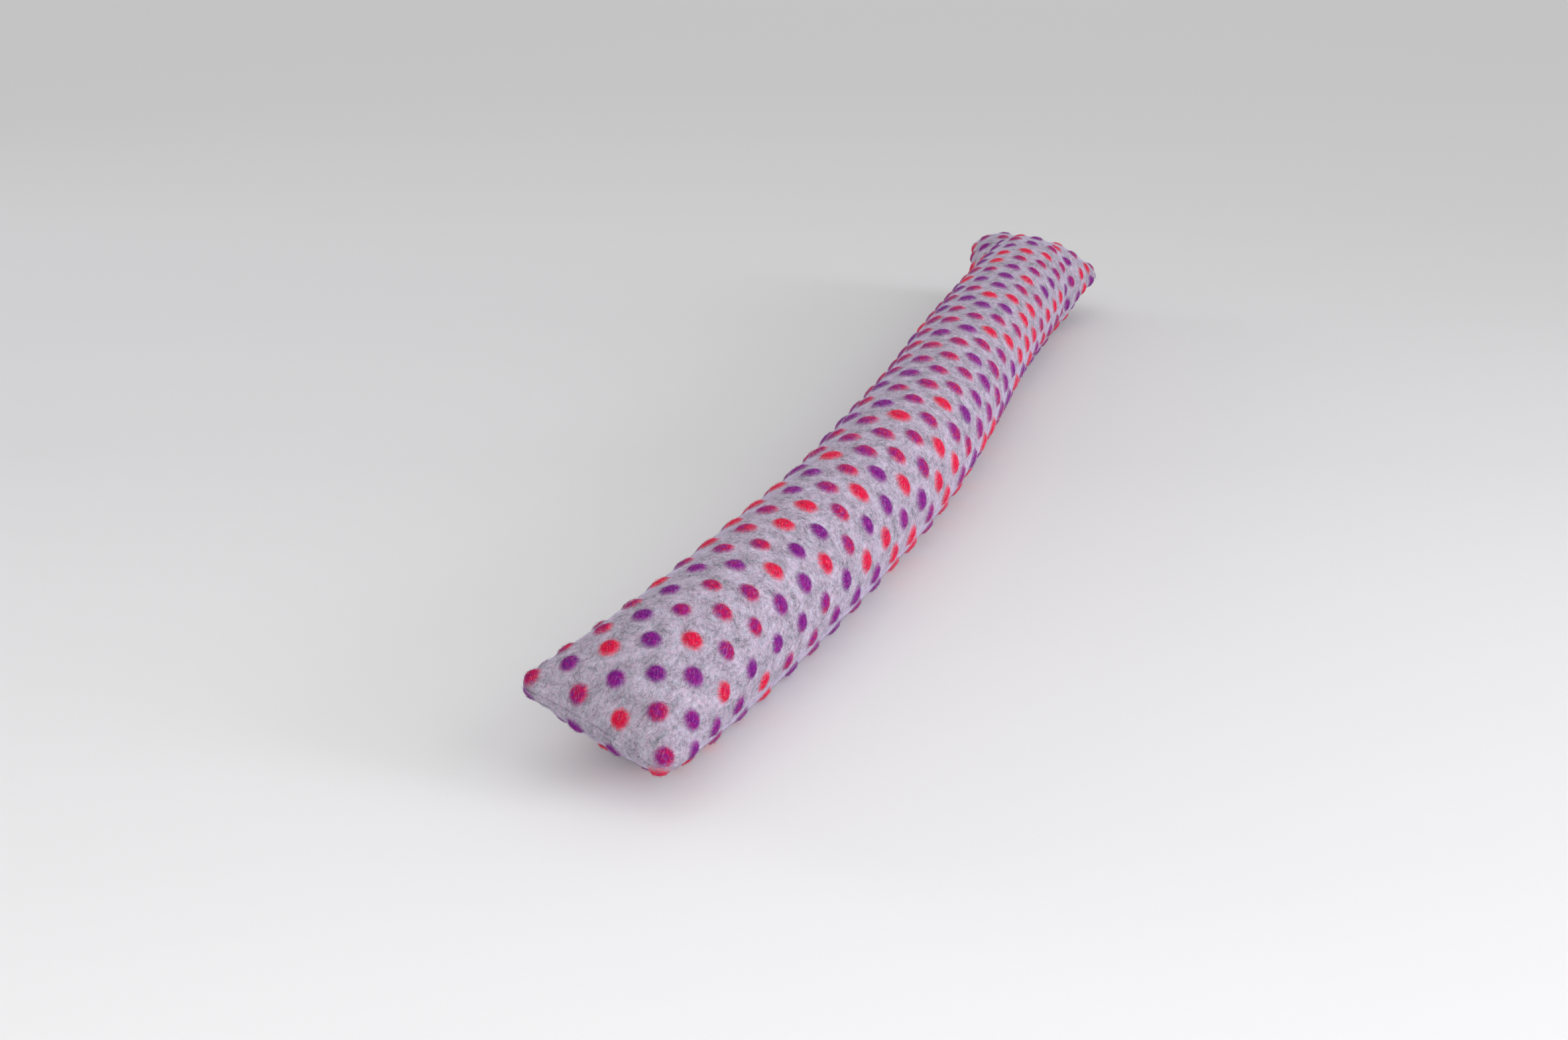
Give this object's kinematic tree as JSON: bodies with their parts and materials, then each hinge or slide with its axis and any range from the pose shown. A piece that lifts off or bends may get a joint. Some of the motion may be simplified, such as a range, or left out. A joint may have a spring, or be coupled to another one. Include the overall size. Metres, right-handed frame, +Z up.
{
  "type": "draught excluder",
  "caption": "Long stuffed felt tube with flat sewn ends and raised round dots, laid along the foot of a door to stop draughts",
  "frame": {"origin": "centre of the part's box in plan, on the surface that it lies on, at z = 0", "axes": "+X along the tube from the near end to the far end, +Y towards the inside of its slight bend, +Z up"},
  "size_m": [0.907, 0.1264, 0.0798],
  "materials": {
    "felt_cloth": "soft fuzzy felt, grey, with raised red, crimson and purple dots"
  },
  "bodies": {
    "root": {"stuffed_cover": "felt_cloth"}
  },
  "joints": []
}
